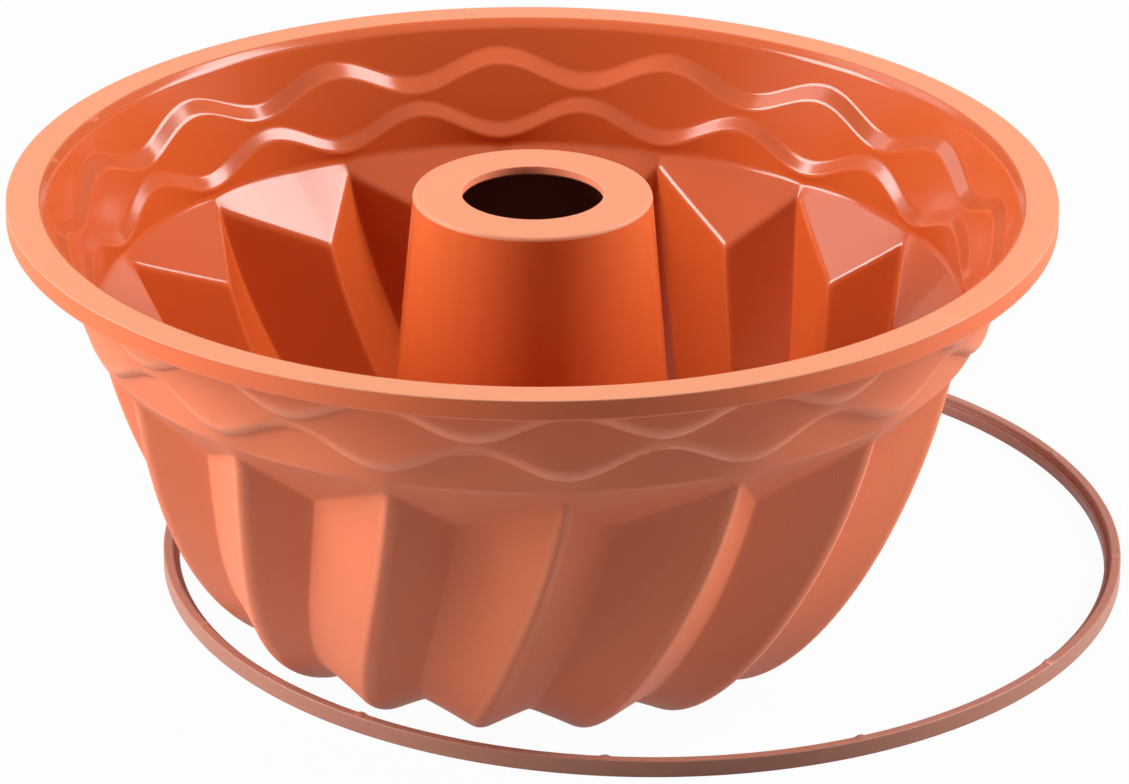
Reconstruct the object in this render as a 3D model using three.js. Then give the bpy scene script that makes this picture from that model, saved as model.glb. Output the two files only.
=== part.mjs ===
// Fluted silicone ring-cake mould, standing inside its loose support ring.
// Millimetres, +Z up. The origin is the middle of the footprint, on the table.
import * as THREE from 'three';

// Mould, overall
const MOULD_HEIGHT = 108;
const RIM_RADIUS = 118;
const RIM_FLAT_WIDTH = 7.6;
const RIM_INNER_ROUND = 1.6;
const LIP_THICKNESS = 4.8;
const LIP_OVERHANG = 9;
const WALL = 2.3;

// Collar below the lip: three bands of wall, stepped in along two wavy lines
const UPPER_BAND_DRAFT = 0.6;
const MIDDLE_BAND_DRAFT = 1.2;
const LOWER_BAND_DRAFT = 2;
const WAVE_STEP_IN = 2.2;
const WAVE_STEP_DOWN = 2.8;
const UPPER_WAVE_DROP = 12.5;
const UPPER_WAVE_SWING = 2.9;
const UPPER_WAVE_EDGE_WALL = 1.9;
const UPPER_WAVE_FOOT_WALL = 2.8;
const UPPER_WAVE_INSIDE_RISE = 0.4;
const LOWER_WAVE_DROP = 22.4;
const LOWER_WAVE_SWING = 3;
const LOWER_WAVE_WALL = 3.75;
const LOWER_WAVE_INSIDE_RISE = -0.5;
const INSIDE_WAVE_SLOPE = 0.3;
const COLLAR_DROP = 29.2;

// Flutes below the collar: sharp ridges and valleys that twist on their way down
const FLUTE_COUNT = 16;
const FIRST_RIDGE_DEG = 4.8;
const RIDGE_TOP_INSET = 1.9;
const RIDGE_TOP_DROP = 3.1;
const FLUTE_DEPTH = 12.6;
const LEDGE_DROP = 11.6;
const VALLEY_SHARE = 0.378;
const FLUTE_LEAN_DEG = 10.4;
const FLUTE_SHOULDER = 32.5;
const FOOT_ROUNDING = 23.5;
const FOOT_RADIUS = 52;
const FOOT_VALLEY_INSET = 3;
const FOOT_VALLEY_RISE = 5.4;
const TWIST_STEADY_DEG = 5.2;
const TWIST_GROWING_DEG = 10.7;

// Hollow tube in the middle
const TUBE_TOP_DROP = 0.8;
const TUBE_TOP_RADIUS = 27.1;
const TUBE_BASE_RADIUS = 35.6;
const TUBE_HOLE_RADIUS = 16;
const TUBE_MOUTH_RISE = 4.5;
const TUBE_MOUTH_FLARE = 2.6;
const TUBE_MOUTH_DEPTH = 4;
const BOTTOM_RISE_SHARE = 0.25;

// Support ring: a thin hoop that fits loosely around the collar, below the lip.
// It lies a little oval, longer from front to back.
const RING_CLEARANCE = 2.2;
const RING_OVALITY = 0.0166;
const RING_RIB_WIDTH = 2.4;
const RING_FLANGE_WIDTH = 1.4;
const RING_HEIGHT = 4;
const RING_FLANGE_HEIGHT = 2.6;
const RING_FOOT_GAP = 2.3;
const RING_SHIFT_DEG = 56.1;

// Fineness of the mesh
const SHORT_FACET_STEPS = 2;
const LONG_FACET_STEPS = 4;
const FLUTE_STEPS = 8;
const RING_SEGMENTS = 96;
const HALVINGS = 40;

const FULL_TURN = Math.PI * 2;
const FLUTE_PITCH = FULL_TURN / FLUTE_COUNT;
const FIRST_RIDGE = THREE.MathUtils.degToRad(FIRST_RIDGE_DEG);
const VALLEY_LAG = VALLEY_SHARE * FLUTE_PITCH;

// Radii of the collar, from the lip inwards and down
const collarTopRadius = RIM_RADIUS - LIP_OVERHANG;
const upperWaveOuter = collarTopRadius - UPPER_BAND_DRAFT;
const upperWaveInner = upperWaveOuter - WAVE_STEP_IN;
const lowerWaveOuter = upperWaveInner - MIDDLE_BAND_DRAFT;
const lowerWaveInner = lowerWaveOuter - WAVE_STEP_IN;
const collarRadius = lowerWaveInner - LOWER_BAND_DRAFT;
const collarHeight = MOULD_HEIGHT - COLLAR_DROP;
const tubeTopHeight = MOULD_HEIGHT - TUBE_TOP_DROP;

// A ridge or valley line in the plane of the axis: x is the radius, y the height
function fluteLine(top, foot) {
  const lean = THREE.MathUtils.degToRad(FLUTE_LEAN_DEG);
  const shoulder = new THREE.Vector2(-Math.sin(lean), -Math.cos(lean)).multiplyScalar(FLUTE_SHOULDER);
  const rounding = new THREE.Vector2(FOOT_ROUNDING, 0);
  return new THREE.CubicBezierCurve(top, top.clone().add(shoulder), foot.clone().add(rounding), foot);
}

const ridgeTop = new THREE.Vector2(collarRadius - RIDGE_TOP_INSET, collarHeight - RIDGE_TOP_DROP);
const valleyTop = new THREE.Vector2(ridgeTop.x - FLUTE_DEPTH, ridgeTop.y - LEDGE_DROP);
const ridgeFoot = new THREE.Vector2(FOOT_RADIUS, 0);
const valleyFoot = new THREE.Vector2(FOOT_RADIUS - FOOT_VALLEY_INSET, FOOT_VALLEY_RISE);
const ridgeLine = fluteLine(ridgeTop, ridgeFoot);
const valleyLine = fluteLine(valleyTop, valleyFoot);

// The flutes turn clockwise on their way down, faster towards the foot
function twistAt(height) {
  const depth = (ridgeTop.y - height) / ridgeTop.y;
  const degrees = TWIST_STEADY_DEG * depth + TWIST_GROWING_DEG * depth * depth;
  return -THREE.MathUtils.degToRad(degrees);
}

function polar(radius, angle, height) {
  return new THREE.Vector3(radius * Math.cos(angle), radius * Math.sin(angle), height);
}

// A point on a facet: straight across between a ridge and the valley beside it
function facetPoint(along, flute, share) {
  const ridge = ridgeLine.getPoint(along);
  const valley = valleyLine.getPoint(along);
  const ridgeAngle = FIRST_RIDGE + twistAt(ridge.y);
  const valleyAngle = FIRST_RIDGE + VALLEY_LAG + twistAt(valley.y);
  const onShortFacet = share <= VALLEY_SHARE;
  const fluteAngle = flute * FLUTE_PITCH;
  const valleyPoint = polar(valley.x, valleyAngle + fluteAngle, valley.y);
  const ridgeTurn = onShortFacet ? 0 : FLUTE_PITCH;
  const ridgePoint = polar(ridge.x, ridgeAngle + fluteAngle + ridgeTurn, ridge.y);
  const towardsValley = onShortFacet ? share / VALLEY_SHARE : (1 - share) / (1 - VALLEY_SHARE);
  return ridgePoint.lerp(valleyPoint, towardsValley);
}

// A point on the outside; its match inside lies one wall further in, square to the wall
function wallPoint(angle, radius, height) {
  return { angle, radius, height, wall: WALL };
}

// A point on the outside of a wave; its match inside lies straight in, a little higher or lower
function wavePoint(angle, radius, height, levelWall, insideRise) {
  return { angle, radius, height, levelWall, insideRise };
}

// Outside of the mould along one column, from under the lip to the tube's hole
function outsideColumn(flute, share) {
  const angle = FIRST_RIDGE + (flute + share) * FLUTE_PITCH;
  const swing = Math.cos(share * FULL_TURN);
  const lipBottom = MOULD_HEIGHT - LIP_THICKNESS;
  const upperSwing = UPPER_WAVE_SWING * swing;
  const lowerSwing = -LOWER_WAVE_SWING * swing;
  const upperWave = MOULD_HEIGHT - UPPER_WAVE_DROP + upperSwing;
  const lowerWave = MOULD_HEIGHT - LOWER_WAVE_DROP + lowerSwing;
  const upperEdge = upperWave + WAVE_STEP_DOWN;
  const lowerEdge = lowerWave + WAVE_STEP_DOWN;
  const upperEdgeWall = UPPER_WAVE_EDGE_WALL - INSIDE_WAVE_SLOPE * upperSwing;
  const upperFootWall = UPPER_WAVE_FOOT_WALL - INSIDE_WAVE_SLOPE * upperSwing;
  const lowerWall = LOWER_WAVE_WALL - INSIDE_WAVE_SLOPE * lowerSwing;
  const column = [
    wallPoint(angle, collarTopRadius, lipBottom),
    wavePoint(angle, upperWaveOuter, upperEdge, upperEdgeWall, UPPER_WAVE_INSIDE_RISE),
    wavePoint(angle, upperWaveInner, upperWave, upperFootWall, UPPER_WAVE_INSIDE_RISE),
    wavePoint(angle, lowerWaveOuter, lowerEdge, lowerWall, LOWER_WAVE_INSIDE_RISE),
    wavePoint(angle, lowerWaveInner, lowerWave, lowerWall, LOWER_WAVE_INSIDE_RISE),
    wallPoint(angle, collarRadius, collarHeight),
  ];
  let lastAngle = angle;
  for (let step = 0; step <= FLUTE_STEPS; step += 1) {
    const point = facetPoint(step / FLUTE_STEPS, flute, share);
    const radius = Math.hypot(point.x, point.y);
    const turn = Math.atan2(point.y, point.x) - lastAngle;
    lastAngle += turn - Math.round(turn / FULL_TURN) * FULL_TURN;
    column.push(wallPoint(lastAngle, radius, point.z));
  }
  const foot = column[column.length - 1];
  const hollowBase = TUBE_BASE_RADIUS - WALL;
  const hollowTop = TUBE_TOP_RADIUS - WALL;
  const plateBottom = tubeTopHeight - WALL;
  const mouthRadius = hollowBase + TUBE_MOUTH_FLARE;
  const bottomRadius = (foot.radius + mouthRadius) / 2;
  const bottomHeight = THREE.MathUtils.lerp(foot.height, TUBE_MOUTH_RISE, BOTTOM_RISE_SHARE);
  column.push(wallPoint(lastAngle, bottomRadius, bottomHeight));
  column.push(wallPoint(lastAngle, mouthRadius, TUBE_MOUTH_RISE));
  column.push(wallPoint(lastAngle, hollowBase, TUBE_MOUTH_RISE + TUBE_MOUTH_DEPTH));
  column.push(wallPoint(lastAngle, hollowTop, plateBottom));
  column.push(wallPoint(lastAngle, TUBE_HOLE_RADIUS, plateBottom));
  return column;
}

// Unit normal of the stretch between two points, towards the inside of the mould
function insideNormal(from, to) {
  return new THREE.Vector2(to.height - from.height, from.radius - to.radius).normalize();
}

// Match of one point inside the mould, with mitred corners below the collar
function insidePoint(outside, index) {
  const { angle, radius, height, wall, levelWall, insideRise } = outside[index];
  if (levelWall !== undefined) {
    return { angle, radius: radius - levelWall, height: height + insideRise };
  }
  const lower = Math.min(index, outside.length - 2);
  const above = insideNormal(outside[index - 1], outside[index]);
  const below = insideNormal(outside[lower], outside[lower + 1]);
  const reach = wall / (1 + above.dot(below));
  const shift = above.add(below).multiplyScalar(reach);
  return { angle, radius: radius + shift.x, height: height + shift.y };
}

// Inside of one column, from the upper wave to the tube's hole; the corner under the lip has no match
function insideColumn(outside) {
  return outside.slice(1).map((_, index) => insidePoint(outside, index + 1));
}

// Outside, hole, inside and rim of one column, as one closed loop of points
function closedColumn(flute, share) {
  const outside = outsideColumn(flute, share);
  const inside = insideColumn(outside);
  const angle = outside[0].angle;
  const flatRadius = RIM_RADIUS - RIM_FLAT_WIDTH;
  const rim = [
    { radius: flatRadius - RIM_INNER_ROUND, height: MOULD_HEIGHT - RIM_INNER_ROUND, angle },
    { radius: flatRadius, height: MOULD_HEIGHT, angle },
    { radius: RIM_RADIUS, height: MOULD_HEIGHT, angle },
    { radius: RIM_RADIUS, height: MOULD_HEIGHT - LIP_THICKNESS, angle },
  ];
  return [...outside, ...inside.reverse(), ...rim];
}

function mouldGeometry() {
  const shares = [];
  for (let step = 0; step < SHORT_FACET_STEPS; step += 1) {
    shares.push((step / SHORT_FACET_STEPS) * VALLEY_SHARE);
  }
  for (let step = 0; step < LONG_FACET_STEPS; step += 1) {
    shares.push(VALLEY_SHARE + (step / LONG_FACET_STEPS) * (1 - VALLEY_SHARE));
  }
  const columns = [];
  for (let flute = 0; flute < FLUTE_COUNT; flute += 1) {
    for (const share of shares) {
      columns.push(closedColumn(flute, share));
    }
  }
  const columnLength = columns[0].length;
  const positions = [];
  for (const column of columns) {
    for (const point of column) {
      positions.push(...polar(point.radius, point.angle, point.height).toArray());
    }
  }
  const triangles = [];
  for (let column = 0; column < columns.length; column += 1) {
    const here = column * columnLength;
    const beside = ((column + 1) % columns.length) * columnLength;
    for (let row = 0; row < columnLength; row += 1) {
      const next = (row + 1) % columnLength;
      triangles.push(here + row, here + next, beside + row);
      triangles.push(here + next, beside + next, beside + row);
    }
  }
  const geometry = new THREE.BufferGeometry();
  geometry.setAttribute('position', new THREE.Float32BufferAttribute(positions, 3));
  geometry.setIndex(triangles);
  geometry.computeVertexNormals();
  return geometry;
}

// Section of the hoop: an upright rib outside, and a lower flange inside it
const ringInnerRadius = collarTopRadius + RING_CLEARANCE;
const ribInnerRadius = ringInnerRadius + RING_FLANGE_WIDTH;
const ringOuterRadius = ribInnerRadius + RING_RIB_WIDTH;
const acrossScale = 1 - RING_OVALITY;
const alongScale = 1 + RING_OVALITY;

function ringGeometry() {
  const section = [
    new THREE.Vector2(ringInnerRadius, 0),
    new THREE.Vector2(ringOuterRadius, 0),
    new THREE.Vector2(ringOuterRadius, RING_HEIGHT),
    new THREE.Vector2(ribInnerRadius, RING_HEIGHT),
    new THREE.Vector2(ribInnerRadius, RING_FLANGE_HEIGHT),
    new THREE.Vector2(ringInnerRadius, RING_FLANGE_HEIGHT),
    new THREE.Vector2(ringInnerRadius, 0),
  ];
  const geometry = new THREE.LatheGeometry(section, RING_SEGMENTS);
  geometry.rotateX(Math.PI / 2);
  geometry.scale(acrossScale, alongScale, 1);
  return geometry;
}

const silicone = new THREE.MeshStandardMaterial({ color: 0xd9653a, roughness: 0.5, metalness: 0 });
const hoopPlastic = new THREE.MeshStandardMaterial({ color: 0xb5705a, roughness: 0.55, metalness: 0 });

const mould = new THREE.Mesh(mouldGeometry(), silicone);
mould.name = 'silicone_mould';

const supportRing = new THREE.Mesh(ringGeometry(), hoopPlastic);
supportRing.name = 'support_ring';

// Radius of the ridges at a height near the foot, found by halving
function ridgeRadiusAt(height) {
  let above = 0;
  let below = 1;
  for (let round = 0; round < HALVINGS; round += 1) {
    const middle = (above + below) / 2;
    if (ridgeLine.getPoint(middle).y > height) {
      above = middle;
    } else {
      below = middle;
    }
  }
  return ridgeLine.getPoint(above).x;
}

// Radius of the oval inside of the rib in one direction
function ribReach(angle) {
  const across = Math.cos(angle) / acrossScale;
  const along = Math.sin(angle) / alongScale;
  return ribInnerRadius / Math.hypot(across, along);
}

// The hoop lies pushed back to one side, its near side almost at the mould's foot
const shiftAngle = THREE.MathUtils.degToRad(RING_SHIFT_DEG);
const shiftLength = ribReach(shiftAngle) - ridgeRadiusAt(RING_HEIGHT) - RING_FOOT_GAP;
const ringShift = polar(shiftLength, shiftAngle, 0);
supportRing.position.copy(ringShift);

// Middle of the footprint along one axis, with the hoop shifted from the mould's axis
function footprintMiddle(shift, ringReach) {
  const low = Math.min(-RIM_RADIUS, shift - ringReach);
  const high = Math.max(RIM_RADIUS, shift + ringReach);
  return (low + high) / 2;
}

const middleAcross = footprintMiddle(ringShift.x, ringOuterRadius * acrossScale);
const middleAlong = footprintMiddle(ringShift.y, ringOuterRadius * alongScale);
const bundtMould = new THREE.Group();
bundtMould.add(mould, supportRing);
bundtMould.position.set(-middleAcross, -middleAlong, 0);

export default bundtMould;
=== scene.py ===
"""Silicone ring-cake mould with its support ring: fine surfaces, finishes, light and camera."""
import math

import bpy
import numpy as np
from mathutils import Matrix, Vector


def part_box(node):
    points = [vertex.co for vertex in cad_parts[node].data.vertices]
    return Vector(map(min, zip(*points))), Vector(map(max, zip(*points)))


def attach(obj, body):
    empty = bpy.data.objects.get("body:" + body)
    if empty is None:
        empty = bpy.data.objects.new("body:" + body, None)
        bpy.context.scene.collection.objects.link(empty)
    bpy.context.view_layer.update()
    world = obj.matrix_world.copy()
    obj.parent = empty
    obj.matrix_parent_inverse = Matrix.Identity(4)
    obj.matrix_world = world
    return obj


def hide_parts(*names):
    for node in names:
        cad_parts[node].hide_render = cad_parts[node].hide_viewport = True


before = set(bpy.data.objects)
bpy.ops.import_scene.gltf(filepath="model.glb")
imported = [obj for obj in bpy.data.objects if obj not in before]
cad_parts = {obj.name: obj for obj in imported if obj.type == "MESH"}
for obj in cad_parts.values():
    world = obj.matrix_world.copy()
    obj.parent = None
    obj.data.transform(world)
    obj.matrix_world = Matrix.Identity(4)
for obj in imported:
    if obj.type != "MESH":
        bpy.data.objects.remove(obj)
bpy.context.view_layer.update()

MM = 0.001

# Places and overall sizes, from the frame, in millimetres
MOULD_LOW, MOULD_HIGH = (np.array(corner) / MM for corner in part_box("silicone_mould"))
RING_LOW, RING_HIGH = (np.array(corner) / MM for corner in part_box("support_ring"))
AXIS_X, AXIS_Y = ((MOULD_LOW + MOULD_HIGH) / 2)[:2]
MOULD_HEIGHT = MOULD_HIGH[2]
RIM_RADIUS = (MOULD_HIGH - MOULD_LOW)[:2].min() / 2
RING_X, RING_Y = ((RING_LOW + RING_HIGH) / 2)[:2]
RING_ACROSS, RING_ALONG = ((RING_HIGH - RING_LOW) / 2)[:2]
RING_HEIGHT = RING_HIGH[2]

# Rim and wall
RIM_FLAT_WIDTH = 7.6
RIM_INNER_ROUND = 1.6
LIP_THICKNESS = 4.8
LIP_OVERHANG = 9
WALL = 2.3

# Collar with its two wavy steps
UPPER_BAND_DRAFT = 0.6
MIDDLE_BAND_DRAFT = 1.2
LOWER_BAND_DRAFT = 2
WAVE_STEP_IN = 2.2
WAVE_STEP_DOWN = 2.8
UPPER_WAVE_DROP = 12.5
UPPER_WAVE_SWING = 2.9
UPPER_WAVE_EDGE_WALL = 1.9
UPPER_WAVE_FOOT_WALL = 2.8
UPPER_WAVE_INSIDE_RISE = 0.4
LOWER_WAVE_DROP = 22.4
LOWER_WAVE_SWING = 3
LOWER_WAVE_WALL = 3.75
LOWER_WAVE_INSIDE_RISE = -0.5
INSIDE_WAVE_SLOPE = 0.3
COLLAR_DROP = 29.2

# Twisted flutes
FLUTE_COUNT = 16
FIRST_RIDGE = math.radians(4.8)
RIDGE_TOP_INSET = 1.9
RIDGE_TOP_DROP = 3.1
FLUTE_DEPTH = 12.6
LEDGE_DROP = 11.6
VALLEY_SHARE = 0.378
FLUTE_LEAN = math.radians(10.4)
FLUTE_SHOULDER = 32.5
FOOT_ROUNDING = 23.5
FOOT_RADIUS = 52
FOOT_VALLEY_INSET = 3
FOOT_VALLEY_RISE = 5.4
TWIST_STEADY = math.radians(5.2)
TWIST_GROWING = math.radians(10.7)

# Centre tube
TUBE_TOP_DROP = 0.8
TUBE_TOP_RADIUS = 27.1
TUBE_BASE_RADIUS = 35.6
TUBE_HOLE_RADIUS = 16
TUBE_MOUTH_RISE = 4.5
TUBE_MOUTH_FLARE = 2.6
TUBE_MOUTH_DEPTH = 4
BOTTOM_RISE_SHARE = 0.25

# How far each rounding reaches from its sharp edge, outside and inside the mould
OUTSIDE_RIDGE_ROUND = 2.8
OUTSIDE_VALLEY_ROUND = 0.8
INSIDE_RIDGE_ROUND = 0.8
INSIDE_VALLEY_ROUND = 1.0
LIP_CORNER_ROUND = 0.8
WAVE_SHOULDER_RISE = 1.3
WAVE_SHOULDER_ROUND = 2.3
WAVE_CREASE_ROUND = 0.25
INSIDE_WAVE_ROUND = 0.7
COLLAR_EDGE_ROUND = 1.0
INSIDE_COLLAR_ROUND = 1.2
LEDGE_EDGE_ROUND = 0.9
INSIDE_LEDGE_ROUND = 1.5
MOUTH_ROUND = 1.5
TUBE_FOOT_ROUND = 1.4
TUBE_TOP_ROUND = 1.0
HOLE_EDGE_ROUND = 0.4
RIM_EDGE_ROUND = 0.3
LIP_EDGE_ROUND = 0.7
ROUNDING_ROOM = 0.9

# Section of the support ring, and the small moulding marks on its top, measured at half their height
RING_RIB_WIDTH = 2.4
RING_FLANGE_WIDTH = 1.4
RING_FLANGE_HEIGHT = 2.6
RING_EDGE_ROUND = 0.45
RING_GROOVE_ROUND = 0.2
MARK_COUNT = 12
FIRST_MARK = math.radians(25.3)
MARK_HEIGHT = 0.4
MARK_LENGTH = 1.8
MARK_SLOPE = 0.9

# Fineness of the meshes
SHORT_FACET_STEPS = 14
LONG_FACET_STEPS = 20
FLUTE_STEPS = 36
CORNER_STEPS = 4
RING_STEPS = 480
MARK_STEPS = 12
FLAT_FACE_WEIGHT = 80

# Camera of the photograph, measured from the mould's axis on the table, and how far it sees in metres
CAMERA_PLACE = (6.4, -1313.6, 636.3)
CAMERA_PITCH = math.radians(23.753)
CAMERA_YAW = math.radians(0.047)
CAMERA_ROLL = math.radians(0.433)
CAMERA_LENS = 200.94
SENSOR_WIDTH = 36
VIEW_REACH = 100

# Finishes: fineness of the cloudy tone and of the grain, and how sharp an edge turns pale with painted
# sheen
CLOUD_SCALE = 38
CLOUD_DETAIL = 4
GRAIN_SCALE = 2600
GRAIN_DETAIL = 3
GRAIN_DEPTH = 0.0002
EDGE_FROM = 0.505
EDGE_FULL = 0.53
SILICONE_IOR = 1.42

# Studio: paper bent up into a round backdrop, the light of the room and lamps, in metres and degrees
PAPER_HUB_RADIUS = 0.5
PAPER_FLAT_RADIUS = 3.5
PAPER_BEND_RADIUS = 0.5
PAPER_BEND_STEPS = 9
PAPER_SIDES = 64
PAPER_DROP = 0.0002
PAPER_TONE = 0.4
PAPER_GLOW_SHARE = 0.97
ROOM_LIGHT = 0.02
ROOM_GLOW_FROM = 0.1
ROOM_GLOW_FULL = 0.7
SOFTBOX_DISTANCE = 1.2
PANEL_ELEVATION = 12
PANEL_WIDTH = 0.8
PANEL_HEIGHT = 0.38

FULL_TURN = 2 * math.pi
FLUTE_PITCH = FULL_TURN / FLUTE_COUNT

# Finishes of the mould's faces, and how many rows at the end of the outside line the tube's hollow. The
# hollow's colour is a dark copy of the silicone, painted shade; the flats' colour is a paler copy,
# painted sheen, and the lip's a brighter copy, painted light
OUTSIDE_FINISH, INSIDE_FINISH, FLAT_PAINTED_SHEEN, HOLLOW_PAINTED_SHADE, LIP_PAINTED_LIGHT = range(5)
HOLLOW_ROWS = 3


class Row:
    """One line of points round the mould, with the roundings of its edges outside and inside."""

    def __init__(self, radius, height, angle, rounding=0, inside_rounding=0):
        self.radius = radius
        self.height = height
        self.angle = angle
        self.rounding = rounding
        self.inside_rounding = inside_rounding
        self.level_wall = None
        self.inside_rise = 0


def polar(radius, angle, height):
    flat = np.broadcast_arrays(radius * np.cos(angle), radius * np.sin(angle), height)
    return np.stack(flat, axis=-1)


def bezier(points, along):
    """Point of a cubic curve through the plane of the axis, as radius and height."""
    start, pull, push, end = points
    back = 1 - along
    return back**3 * start + 3 * back**2 * along * pull + 3 * back * along**2 * push + along**3 * end


def flute_line(top, foot):
    shoulder = FLUTE_SHOULDER * np.array([-math.sin(FLUTE_LEAN), -math.cos(FLUTE_LEAN)])
    rounding = np.array([FOOT_ROUNDING, 0])
    return top, top + shoulder, foot + rounding, foot


COLLAR_TOP_RADIUS = RIM_RADIUS - LIP_OVERHANG
UPPER_WAVE_OUTER = COLLAR_TOP_RADIUS - UPPER_BAND_DRAFT
UPPER_WAVE_INNER = UPPER_WAVE_OUTER - WAVE_STEP_IN
LOWER_WAVE_OUTER = UPPER_WAVE_INNER - MIDDLE_BAND_DRAFT
LOWER_WAVE_INNER = LOWER_WAVE_OUTER - WAVE_STEP_IN
COLLAR_RADIUS = LOWER_WAVE_INNER - LOWER_BAND_DRAFT
COLLAR_HEIGHT = MOULD_HEIGHT - COLLAR_DROP
TUBE_TOP_HEIGHT = MOULD_HEIGHT - TUBE_TOP_DROP
RIDGE_TOP = np.array([COLLAR_RADIUS - RIDGE_TOP_INSET, COLLAR_HEIGHT - RIDGE_TOP_DROP])
VALLEY_TOP = RIDGE_TOP - np.array([FLUTE_DEPTH, LEDGE_DROP])
RIDGE_FOOT = np.array([FOOT_RADIUS, 0.0])
VALLEY_FOOT = np.array([FOOT_RADIUS - FOOT_VALLEY_INSET, FOOT_VALLEY_RISE])
RIDGE_LINE = flute_line(RIDGE_TOP, RIDGE_FOOT)
VALLEY_LINE = flute_line(VALLEY_TOP, VALLEY_FOOT)


def twist_at(height):
    depth = (RIDGE_TOP[1] - height) / RIDGE_TOP[1]
    return -(TWIST_STEADY * depth + TWIST_GROWING * depth**2)


def rounded_corner(before, corner, after, signed_distance, reach):
    """Points of the curve that rounds a corner between two straight stretches."""
    towards_before = before - corner
    towards_after = after - corner
    start = corner + towards_before * (reach / np.linalg.norm(towards_before, axis=-1, keepdims=True))
    end = corner + towards_after * (reach / np.linalg.norm(towards_after, axis=-1, keepdims=True))
    share = ((signed_distance / reach + 1) / 2)[:, None]
    return (1 - share) ** 2 * start + 2 * share * (1 - share) * corner + share**2 * end


def facet_points(along, flute, share, ridge_round, valley_round):
    """Points across the flutes at one level, with rounded ridges and valleys."""
    ridge_radius, ridge_height = bezier(RIDGE_LINE, along)
    valley_radius, valley_height = bezier(VALLEY_LINE, along)
    ridge_angle = FIRST_RIDGE + twist_at(ridge_height) + flute * FLUTE_PITCH
    valley_angle = FIRST_RIDGE + twist_at(valley_height) + (flute + VALLEY_SHARE) * FLUTE_PITCH
    valley_before = polar(valley_radius, valley_angle - FLUTE_PITCH, valley_height)
    ridge = polar(ridge_radius, ridge_angle, ridge_height)
    valley = polar(valley_radius, valley_angle, valley_height)
    next_ridge = polar(ridge_radius, ridge_angle + FLUTE_PITCH, ridge_height)
    next_valley = polar(valley_radius, valley_angle + FLUTE_PITCH, valley_height)
    short = np.linalg.norm(valley - ridge, axis=-1)
    long = np.linalg.norm(next_ridge - valley, axis=-1)
    on_short = share <= VALLEY_SHARE
    down = np.clip(share / VALLEY_SHARE, 0, 1)
    up = np.clip((share - VALLEY_SHARE) / (1 - VALLEY_SHARE), 0, 1)
    falling = ridge + (valley - ridge) * down[:, None]
    rising = valley + (next_ridge - valley) * up[:, None]
    points = np.where(on_short[:, None], falling, rising)
    past_ridge = down * short
    past_valley = np.where(on_short, (down - 1) * short, up * long)
    before_ridge = (up - 1) * long
    near = on_short & (past_ridge < ridge_round)
    points[near] = rounded_corner(valley_before, ridge, valley, past_ridge, ridge_round)[near]
    near = np.abs(past_valley) < valley_round
    points[near] = rounded_corner(ridge, valley, next_ridge, past_valley, valley_round)[near]
    near = ~on_short & (before_ridge > -ridge_round)
    points[near] = rounded_corner(valley, next_ridge, next_valley, before_ridge, ridge_round)[near]
    return points


def column_shares():
    """Flute number and share of the flute for every column, closer together near ridges and valleys."""
    short = (1 - np.cos(np.pi * np.arange(SHORT_FACET_STEPS) / SHORT_FACET_STEPS)) / 2
    long = (1 - np.cos(np.pi * np.arange(LONG_FACET_STEPS) / LONG_FACET_STEPS)) / 2
    shares = np.concatenate([short * VALLEY_SHARE, VALLEY_SHARE + long * (1 - VALLEY_SHARE)])
    flutes = np.repeat(np.arange(FLUTE_COUNT), len(shares))
    return flutes, np.tile(shares, FLUTE_COUNT)


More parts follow.
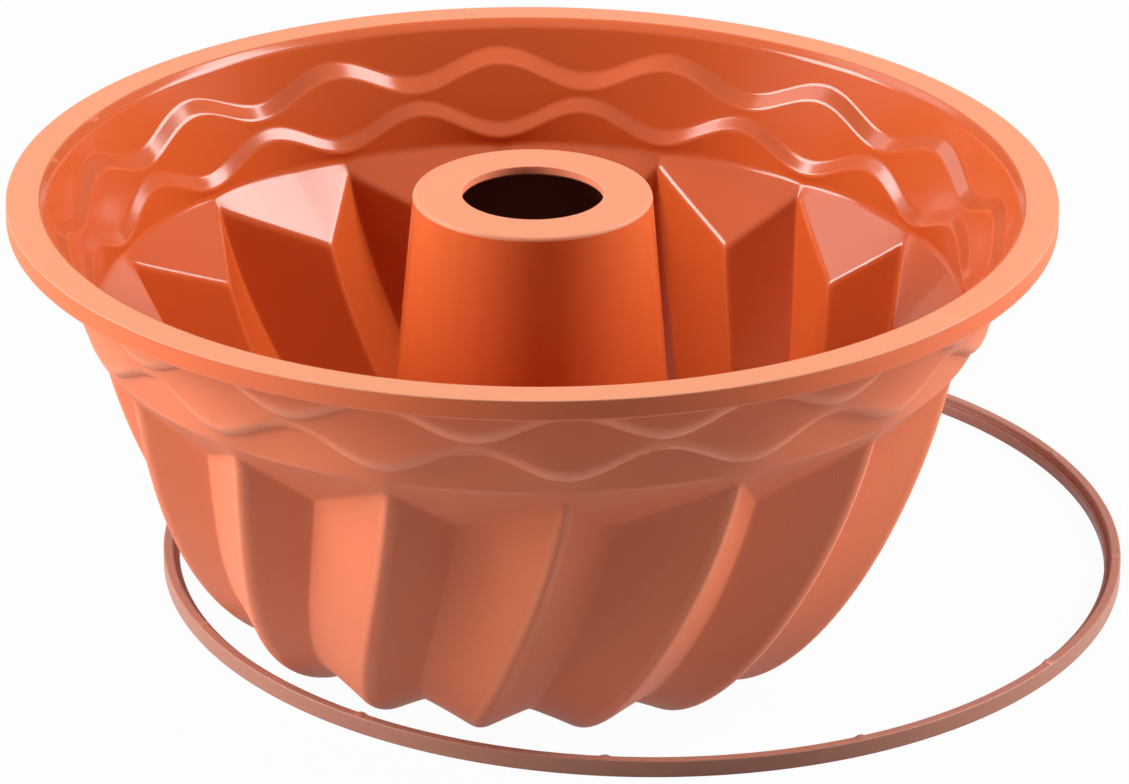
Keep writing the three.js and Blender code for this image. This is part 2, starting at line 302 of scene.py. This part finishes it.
def outside_rows(ridge_round, valley_round, shoulder_rise):
    """Rows of the mould's outside, from under the lip to the edge of the tube's hole."""
    flute, share = column_shares()
    angle = FIRST_RIDGE + (flute + share) * FLUTE_PITCH
    swing = np.cos(share * FULL_TURN)
    upper_swing = UPPER_WAVE_SWING * swing
    lower_swing = -LOWER_WAVE_SWING * swing
    upper = MOULD_HEIGHT - UPPER_WAVE_DROP + upper_swing
    lower = MOULD_HEIGHT - LOWER_WAVE_DROP + lower_swing
    level = np.zeros_like(angle)
    upper_edge = upper + shoulder_rise
    lower_edge = lower + shoulder_rise
    upper_edge_wall = UPPER_WAVE_EDGE_WALL - INSIDE_WAVE_SLOPE * upper_swing
    upper_foot_wall = UPPER_WAVE_FOOT_WALL - INSIDE_WAVE_SLOPE * upper_swing
    lower_wall = LOWER_WAVE_WALL - INSIDE_WAVE_SLOPE * lower_swing
    waves = (
        (UPPER_WAVE_OUTER, upper_edge, WAVE_SHOULDER_ROUND, upper_edge_wall, UPPER_WAVE_INSIDE_RISE),
        (UPPER_WAVE_INNER, upper, WAVE_CREASE_ROUND, upper_foot_wall, UPPER_WAVE_INSIDE_RISE),
        (LOWER_WAVE_OUTER, lower_edge, WAVE_SHOULDER_ROUND, lower_wall, LOWER_WAVE_INSIDE_RISE),
        (LOWER_WAVE_INNER, lower, WAVE_CREASE_ROUND, lower_wall, LOWER_WAVE_INSIDE_RISE),
    )
    lip_bottom = level + MOULD_HEIGHT - LIP_THICKNESS
    rows = [Row(COLLAR_TOP_RADIUS + level, lip_bottom, angle, LIP_CORNER_ROUND)]
    for radius, height, rounding, level_wall, inside_rise in waves:
        row = Row(radius + level, height, angle, rounding, INSIDE_WAVE_ROUND)
        row.level_wall = level_wall
        row.inside_rise = inside_rise
        rows.append(row)
    collar_height = COLLAR_HEIGHT + level
    rows.append(Row(COLLAR_RADIUS + level, collar_height, angle, COLLAR_EDGE_ROUND, INSIDE_COLLAR_ROUND))
    for step in range(FLUTE_STEPS + 1):
        points = facet_points(step / FLUTE_STEPS, flute, share, ridge_round, valley_round)
        turned = np.arctan2(points[:, 1], points[:, 0])
        radius = np.hypot(points[:, 0], points[:, 1])
        row = Row(radius, points[:, 2], turned)
        if step == 0:
            row.rounding = LEDGE_EDGE_ROUND
            row.inside_rounding = INSIDE_LEDGE_ROUND
        rows.append(row)
    foot = rows[-1]
    hollow_base = TUBE_BASE_RADIUS - WALL
    hollow_top = TUBE_TOP_RADIUS - WALL
    plate_bottom = TUBE_TOP_HEIGHT - WALL
    mouth_radius = hollow_base + TUBE_MOUTH_FLARE
    bottom_radius = (foot.radius + mouth_radius) / 2
    bottom_height = foot.height + (TUBE_MOUTH_RISE - foot.height) * BOTTOM_RISE_SHARE
    turned = foot.angle
    rows.append(Row(bottom_radius, bottom_height, turned))
    mouth_height = TUBE_MOUTH_RISE + level
    rows.append(Row(mouth_radius + level, mouth_height, turned, MOUTH_ROUND, TUBE_FOOT_ROUND))
    base_height = mouth_height + TUBE_MOUTH_DEPTH
    rows.append(Row(hollow_base + level, base_height, turned, MOUTH_ROUND, TUBE_FOOT_ROUND))
    plate_height = plate_bottom + level
    rows.append(Row(hollow_top + level, plate_height, turned, MOUTH_ROUND, TUBE_TOP_ROUND))
    rows.append(Row(TUBE_HOLE_RADIUS + level, plate_height, turned, HOLE_EDGE_ROUND, HOLE_EDGE_ROUND))
    return rows


def inside_normal(first, second):
    """Unit normal between two rows in the plane of the axis, towards the inside of the mould."""
    normal = np.stack([second.height - first.height, first.radius - second.radius], axis=-1)
    return normal / np.linalg.norm(normal, axis=-1, keepdims=True)


def inside_row(rows, index):
    """The row of the inside that matches a row of the outside: level on the waves, else mitred."""
    row = rows[index]
    if row.level_wall is not None:
        radius = row.radius - row.level_wall
        return Row(radius, row.height + row.inside_rise, row.angle, row.inside_rounding)
    lower = min(index, len(rows) - 2)
    above = inside_normal(rows[index - 1], row)
    below = inside_normal(rows[lower], rows[lower + 1])
    reach = WALL / (1 + (above * below).sum(axis=-1, keepdims=True))
    shift = (above + below) * reach
    return Row(row.radius + shift[:, 0], row.height + shift[:, 1], row.angle, row.inside_rounding)


def rim_rows(angle):
    flat_radius = RIM_RADIUS - RIM_FLAT_WIDTH
    corners = (
        (flat_radius - RIM_INNER_ROUND, MOULD_HEIGHT - RIM_INNER_ROUND, LIP_CORNER_ROUND),
        (flat_radius, MOULD_HEIGHT, RIM_EDGE_ROUND),
        (RIM_RADIUS, MOULD_HEIGHT, RIM_EDGE_ROUND),
        (RIM_RADIUS, MOULD_HEIGHT - LIP_THICKNESS, LIP_EDGE_ROUND),
    )
    level = np.zeros_like(angle)
    return [Row(radius + level, height + level, angle, rounding) for radius, height, rounding in corners]


def rounded_loop(lines, roundings, kinds):
    """A closed loop of lines with each marked corner replaced by a small curve."""
    fine_lines = []
    fine_kinds = []
    count = len(lines)
    for index, line in enumerate(lines):
        if roundings[index] == 0:
            fine_lines.append(line)
            fine_kinds.append(kinds[index])
            continue
        before = lines[index - 1] - line
        after = lines[(index + 1) % count] - line
        before_length = np.linalg.norm(before, axis=-1, keepdims=True)
        after_length = np.linalg.norm(after, axis=-1, keepdims=True)
        room = ROUNDING_ROOM * np.minimum(before_length, after_length)
        reach = np.minimum(roundings[index], room)
        start = line + before / before_length * reach
        end = line + after / after_length * reach
        for step in range(CORNER_STEPS + 1):
            share = step / CORNER_STEPS
            point = (1 - share) ** 2 * start + 2 * share * (1 - share) * line + share**2 * end
            fine_lines.append(point)
            fine_kinds.append(kinds[index] if share == 1 else kinds[index - 1])
    return fine_lines, fine_kinds


def grid_object(name, lines, kinds, place):
    """A closed tube of quads through closed lines of points, placed in metres."""
    rows = len(lines)
    columns = len(lines[0])
    points = (np.stack(lines, axis=1).reshape(-1, 3) + np.array(place)) * MM
    here = np.arange(columns)[:, None] * rows
    beside = (np.arange(columns)[:, None] + 1) % columns * rows
    row = np.arange(rows)[None, :]
    following = (row + 1) % rows
    corners = [here + row, here + following, beside + following, beside + row]
    faces = np.stack(corners, axis=-1).reshape(-1, len(corners))
    mesh = bpy.data.meshes.new(name)
    mesh.from_pydata(points.tolist(), [], faces.tolist())
    mesh.polygons.foreach_set("material_index", np.tile(np.array(kinds), columns))
    mesh.polygons.foreach_set("use_smooth", np.ones(len(faces), dtype=bool))
    mesh.update()
    piece = bpy.data.objects.new(name, mesh)
    bpy.context.scene.collection.objects.link(piece)
    return piece


def even_shading(piece):
    """Keeps broad faces flat to the eye beside narrow rounded edges."""
    weighted = piece.modifiers.new("even_shading", "WEIGHTED_NORMAL")
    weighted.weight = FLAT_FACE_WEIGHT
    weighted.keep_sharp = True


def build_mould():
    outside = outside_rows(OUTSIDE_RIDGE_ROUND, OUTSIDE_VALLEY_ROUND, WAVE_SHOULDER_RISE)
    core = outside_rows(INSIDE_RIDGE_ROUND, INSIDE_VALLEY_ROUND, WAVE_STEP_DOWN)
    inside = [inside_row(core, index) for index in reversed(range(1, len(core)))]
    rim = rim_rows(outside[0].angle)
    rows = outside + inside + rim
    kinds = [OUTSIDE_FINISH] * len(outside) + [INSIDE_FINISH] * len(inside)
    # The lip's face gets a brighter copy of the silicone with its own roughness: painted light on its
    # lit side.
    kinds += [INSIDE_FINISH, FLAT_PAINTED_SHEEN, LIP_PAINTED_LIGHT, OUTSIDE_FINISH]
    # The tube's top, like the rim's flat, gets the paler copy of the silicone: painted sheen.
    kinds[len(outside)] = FLAT_PAINTED_SHEEN
    # The tube's hollow gets the dark copy of the silicone: painted shade in the hole.
    hollow_start = len(outside) - HOLLOW_ROWS
    for row_number in range(hollow_start, len(outside) - 1):
        kinds[row_number] = HOLLOW_PAINTED_SHADE
    lines = [polar(row.radius, row.angle, row.height) for row in rows]
    fine_lines, fine_kinds = rounded_loop(lines, [row.rounding for row in rows], kinds)
    mould = grid_object("silicone_mould_surface", fine_lines, fine_kinds, (AXIS_X, AXIS_Y, 0))
    even_shading(mould)
    return mould


def mark_bump(angle):
    """Rise of the ring's top at the moulding marks, from 0 to 1."""
    spacing = FULL_TURN / MARK_COUNT
    past_mark = (angle - FIRST_MARK + spacing / 2) % spacing - spacing / 2
    away = np.abs(past_mark) * RING_ACROSS
    return np.clip(((MARK_LENGTH + MARK_SLOPE) / 2 - away) / MARK_SLOPE, 0, 1)


def ring_angles():
    even = np.arange(RING_STEPS) / RING_STEPS * FULL_TURN
    marks = FIRST_MARK + np.arange(MARK_COUNT) / MARK_COUNT * FULL_TURN
    reach = MARK_LENGTH / RING_ACROSS
    beside_marks = marks[:, None] + np.linspace(-reach, reach, MARK_STEPS)[None, :]
    return np.unique(np.concatenate([even, beside_marks.ravel()]) % FULL_TURN)


def build_ring():
    angle = ring_angles()
    rise = mark_bump(angle) * MARK_HEIGHT
    rib_inset = RING_RIB_WIDTH
    flange_inset = RING_RIB_WIDTH + RING_FLANGE_WIDTH
    top = RING_HEIGHT
    section = (
        (flange_inset, 0, 0, RING_GROOVE_ROUND),
        (0, 0, 0, RING_GROOVE_ROUND),
        (0, top, 0, RING_EDGE_ROUND),
        (rib_inset, top, 1, RING_EDGE_ROUND),
        (rib_inset, RING_FLANGE_HEIGHT, 0, RING_GROOVE_ROUND),
        (flange_inset, RING_FLANGE_HEIGHT, 0, RING_EDGE_ROUND),
    )
    lines = []
    for inset, height, lift, _ in section:
        across = (RING_ACROSS - inset) * np.cos(angle)
        along = (RING_ALONG - inset) * np.sin(angle)
        lines.append(np.stack([across, along, height + lift * rise], axis=-1))
    roundings = [rounding for _, _, _, rounding in section]
    fine_lines, fine_kinds = rounded_loop(lines, roundings, [0] * len(section))
    ring = grid_object("support_ring_surface", fine_lines, fine_kinds, (RING_X, RING_Y, 0))
    even_shading(ring)
    return ring


class NodeTree:
    """Short way to add and join the nodes of a material or world."""

    def __init__(self, owner):
        owner.use_nodes = True
        self.tree = owner.node_tree
        self.tree.nodes.clear()

    def add(self, kind, inputs=None, **settings):
        node = self.tree.nodes.new(kind)
        for key, value in settings.items():
            setattr(node, key, value)
        for key, value in (inputs or {}).items():
            if isinstance(value, bpy.types.NodeSocket):
                self.tree.links.new(value, node.inputs[key])
            else:
                node.inputs[key].default_value = value
        return node


def moulded_material(name, colour, deeper, edge, roughness, polish, grain):
    """Moulded silicone or plastic: cloudy colour, edges painted paler as sheen and highlight, fine grain
    and uneven gloss.
    """
    material = bpy.data.materials.new(name)
    nodes = NodeTree(material)
    place = nodes.add("ShaderNodeTexCoord").outputs["Object"]
    clouds = nodes.add("ShaderNodeTexNoise", {"Vector": place, "Scale": CLOUD_SCALE})
    clouds.inputs["Detail"].default_value = CLOUD_DETAIL
    grains = nodes.add("ShaderNodeTexNoise", {"Vector": place, "Scale": GRAIN_SCALE})
    grains.inputs["Detail"].default_value = GRAIN_DETAIL
    tone = nodes.add("ShaderNodeMix", {"Factor": clouds.outputs["Fac"]}, data_type="RGBA")
    tone.inputs["A"].default_value = (*deeper, 1)
    tone.inputs["B"].default_value = (*colour, 1)
    # Sharp convex edges turn towards the edge colour: painted sheen and highlight along the edges.
    shape = nodes.add("ShaderNodeNewGeometry").outputs["Pointiness"]
    edge_sheen_share = nodes.add("ShaderNodeMapRange", {"Value": shape})
    edge_sheen_share.inputs["From Min"].default_value = EDGE_FROM
    edge_sheen_share.inputs["From Max"].default_value = EDGE_FULL
    edge_sheened_colour = nodes.add("ShaderNodeMix", {"Factor": edge_sheen_share.outputs["Result"]}, data_type="RGBA")
    nodes.tree.links.new(tone.outputs["Result"], edge_sheened_colour.inputs["A"])
    edge_sheened_colour.inputs["B"].default_value = (*edge, 1)
    gloss = nodes.add("ShaderNodeMapRange", {"Value": grains.outputs["Fac"]})
    gloss.inputs["To Min"].default_value = roughness - polish
    gloss.inputs["To Max"].default_value = roughness + polish
    bump = nodes.add("ShaderNodeBump", {"Height": grains.outputs["Fac"], "Strength": grain})
    bump.inputs["Distance"].default_value = GRAIN_DEPTH
    shader = nodes.add(
        "ShaderNodeBsdfPrincipled",
        {
            "Base Color": edge_sheened_colour.outputs["Result"],
            "Roughness": gloss.outputs["Result"],
            "Normal": bump.outputs["Normal"],
            "IOR": SILICONE_IOR,
        },
    )
    nodes.add("ShaderNodeOutputMaterial", {"Surface": shader.outputs["BSDF"]})
    return material


def background_rays(nodes):
    """1 for rays that show the background: seen directly, mirrored or through glass."""
    path = nodes.add("ShaderNodeLightPath")
    seen = nodes.add("ShaderNodeMath", operation="MAXIMUM")
    nodes.tree.links.new(path.outputs["Is Camera Ray"], seen.inputs[0])
    nodes.tree.links.new(path.outputs["Is Glossy Ray"], seen.inputs[1])
    all_seen = nodes.add("ShaderNodeMath", operation="MAXIMUM")
    nodes.tree.links.new(seen.outputs["Value"], all_seen.inputs[0])
    nodes.tree.links.new(path.outputs["Is Transmission Ray"], all_seen.inputs[1])
    return all_seen.outputs["Value"]


def paper_material():
    """White paper that looks white and still takes a soft shadow."""
    material = bpy.data.materials.new("white_paper")
    nodes = NodeTree(material)
    paper = nodes.add("ShaderNodeBsdfDiffuse", {"Color": (PAPER_TONE, PAPER_TONE, PAPER_TONE, 1)})
    white = nodes.add("ShaderNodeEmission", {"Color": (1, 1, 1, 1), "Strength": 1})
    seen = background_rays(nodes)
    share = nodes.add("ShaderNodeMath", {0: seen, 1: PAPER_GLOW_SHARE}, operation="MULTIPLY")
    mixed = nodes.add("ShaderNodeMixShader", {0: share.outputs["Value"], 1: paper.outputs["BSDF"]})
    nodes.tree.links.new(white.outputs["Emission"], mixed.inputs[2])
    nodes.add("ShaderNodeOutputMaterial", {"Surface": mixed.outputs["Shader"]})
    return material


def build_stage():
    """A round sheet of paper on the table that curves up into a backdrop all round."""
    bend = np.linspace(0, math.pi / 2, PAPER_BEND_STEPS)
    radius = np.concatenate([[PAPER_HUB_RADIUS], PAPER_FLAT_RADIUS + PAPER_BEND_RADIUS * np.sin(bend)])
    height = np.concatenate([[0], PAPER_BEND_RADIUS * (1 - np.cos(bend))])
    turn = np.arange(PAPER_SIDES) / PAPER_SIDES * FULL_TURN
    rings = [polar(reach, turn, rise - PAPER_DROP) for reach, rise in zip(radius, height)]
    points = np.concatenate(rings).tolist()
    faces = [list(range(PAPER_SIDES))]
    for ring in range(len(rings) - 1):
        for side in range(PAPER_SIDES):
            here = ring * PAPER_SIDES + side
            beside = ring * PAPER_SIDES + (side + 1) % PAPER_SIDES
            faces.append([here, here + PAPER_SIDES, beside + PAPER_SIDES, beside])
    mesh = bpy.data.meshes.new("paper_stage")
    mesh.from_pydata(points, [], faces)
    mesh.polygons.foreach_set("use_smooth", np.ones(len(faces), dtype=bool))
    mesh.materials.append(paper_material())
    stage = bpy.data.objects.new("paper_stage", mesh)
    bpy.context.scene.collection.objects.link(stage)


def build_world():
    world = bpy.data.worlds.new("studio")
    bpy.context.scene.world = world
    nodes = NodeTree(world)
    direction = nodes.add("ShaderNodeTexCoord").outputs["Generated"]
    upward = nodes.add("ShaderNodeSeparateXYZ", {"Vector": direction}).outputs["Z"]
    overhead = nodes.add("ShaderNodeMapRange", {"Value": upward}).outputs["Result"]
    overhead.node.inputs["From Min"].default_value = ROOM_GLOW_FROM
    overhead.node.inputs["From Max"].default_value = ROOM_GLOW_FULL
    glow = nodes.add("ShaderNodeMath", {0: background_rays(nodes), 1: overhead}, operation="MULTIPLY")
    light = nodes.add("ShaderNodeMath", {0: glow.outputs["Value"], 1: ROOM_LIGHT}, operation="MAXIMUM")
    soft = nodes.add("ShaderNodeBackground", {"Color": (1, 1, 1, 1), "Strength": light.outputs["Value"]})
    nodes.add("ShaderNodeOutputWorld", {"Surface": soft.outputs["Background"]})


def build_softbox(name, azimuth, elevation, width, height, radiance):
    """A rectangular lamp that faces the mould."""
    lamp = bpy.data.lights.new(name, "AREA")
    lamp.shape = "RECTANGLE"
    lamp.size = width
    lamp.size_y = height
    lamp.energy = radiance * math.pi * width * height
    softbox = bpy.data.objects.new(name, lamp)
    softbox.visible_camera = False
    aim = Vector((AXIS_X * MM, AXIS_Y * MM, MOULD_HEIGHT * MM / 2))
    turn = math.radians(azimuth)
    lift = math.radians(elevation)
    away = Vector((math.cos(lift) * math.cos(turn), math.cos(lift) * math.sin(turn), math.sin(lift)))
    softbox.location = aim + away * SOFTBOX_DISTANCE
    softbox.rotation_euler = away.to_track_quat("Z", "Y").to_euler()
    bpy.context.scene.collection.objects.link(softbox)
    return softbox


def build_panel(name, azimuth, radiance):
    """A low fill lamp that shows no mirror image of itself."""
    panel = build_softbox(name, azimuth, PANEL_ELEVATION, PANEL_WIDTH, PANEL_HEIGHT, radiance)
    panel.visible_glossy = False


def build_lights():
    build_softbox("left_softbox", azimuth=185, elevation=31, width=0.5, height=0.5, radiance=17.6)
    build_softbox("right_softbox", azimuth=8, elevation=38, width=0.45, height=0.72, radiance=15.7)
    build_softbox("back_softbox", azimuth=150, elevation=44, width=0.5, height=0.5, radiance=3)
    build_panel("left_panel", azimuth=195, radiance=6.5)
    build_panel("right_panel", azimuth=8, radiance=6.5)


def build_camera():
    camera_data = bpy.data.cameras.new("camera")
    camera_data.sensor_width = SENSOR_WIDTH
    camera_data.lens = CAMERA_LENS
    camera_data.clip_end = VIEW_REACH
    camera = bpy.data.objects.new("camera", camera_data)
    place = (Vector(CAMERA_PLACE) + Vector((AXIS_X, AXIS_Y, 0))) * MM
    aim = Matrix.Rotation(-CAMERA_YAW, 4, "Z") @ Matrix.Rotation(math.pi / 2 - CAMERA_PITCH, 4, "X")
    camera.matrix_world = Matrix.Translation(place) @ aim @ Matrix.Rotation(CAMERA_ROLL, 4, "Z")
    bpy.context.scene.collection.objects.link(camera)
    bpy.context.scene.camera = camera


bpy.context.scene.view_settings.view_transform = "Standard"
build_camera()
build_world()
build_lights()
build_stage()

outside_silicone = moulded_material(
    "silicone_outside",
    colour=(0.81, 0.203, 0.092),
    deeper=(0.77, 0.189, 0.083),
    edge=(0.97, 0.33, 0.19),
    roughness=0.55,
    polish=0.06,
    grain=0.25,
)
inside_silicone = moulded_material(
    "silicone_inside",
    colour=(0.61, 0.107, 0.0225),
    deeper=(0.58, 0.099, 0.0205),
    edge=(0.72, 0.17, 0.06),
    roughness=0.17,
    polish=0.03,
    grain=0.04,
)
# A paler copy of the silicone for the rim's flat and the tube's top: painted sheen.
flat_sheen_silicone = moulded_material(
    "silicone_flats_painted_sheen",
    colour=(0.72, 0.275, 0.15),
    deeper=(0.69, 0.26, 0.14),
    edge=(0.72, 0.28, 0.155),
    roughness=0.5,
    polish=0.05,
    grain=0.15,
)
# A darker copy of the silicone for the tube's hollow: painted shade.
hollow_shade_silicone = moulded_material(
    "silicone_hollow_painted_shade",
    colour=(0.2, 0.045, 0.02),
    deeper=(0.18, 0.04, 0.018),
    edge=(0.24, 0.06, 0.03),
    roughness=0.6,
    polish=0.06,
    grain=0.25,
)
# A brighter copy of the inside silicone's colour for the lip's outer face, with its own roughness:
# painted light on the lit side.
lip_lit_silicone = moulded_material(
    "silicone_lip_painted_light",
    colour=(0.75, 0.117, 0.022),
    deeper=(0.71, 0.109, 0.02),
    # The edge colour paints the pale highlight line along the lip's lower edge.
    edge=(0.86, 0.22, 0.1),
    roughness=0.5,
    polish=0.05,
    grain=0.15,
)
hoop_plastic = moulded_material(
    "hoop_plastic",
    colour=(0.44, 0.185, 0.13),
    deeper=(0.4, 0.168, 0.115),
    # The edge colour paints sheen over most of the ring's narrow rounded top, so the top reads lighter:
    # painted light.
    edge=(0.7, 0.31, 0.23),
    roughness=0.45,
    polish=0.08,
    grain=0.15,
)

mould = build_mould()
# The real matte and glossy silicone together with the copies that carry painted sheen, painted light and
# painted shade.
finishes_and_painted_light = (outside_silicone, inside_silicone, flat_sheen_silicone, hollow_shade_silicone, lip_lit_silicone)
for material in finishes_and_painted_light:
    mould.data.materials.append(material)
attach(mould, "mould")
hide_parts("silicone_mould")

ring = build_ring()
ring.data.materials.append(hoop_plastic)
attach(ring, "ring")
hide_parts("support_ring")
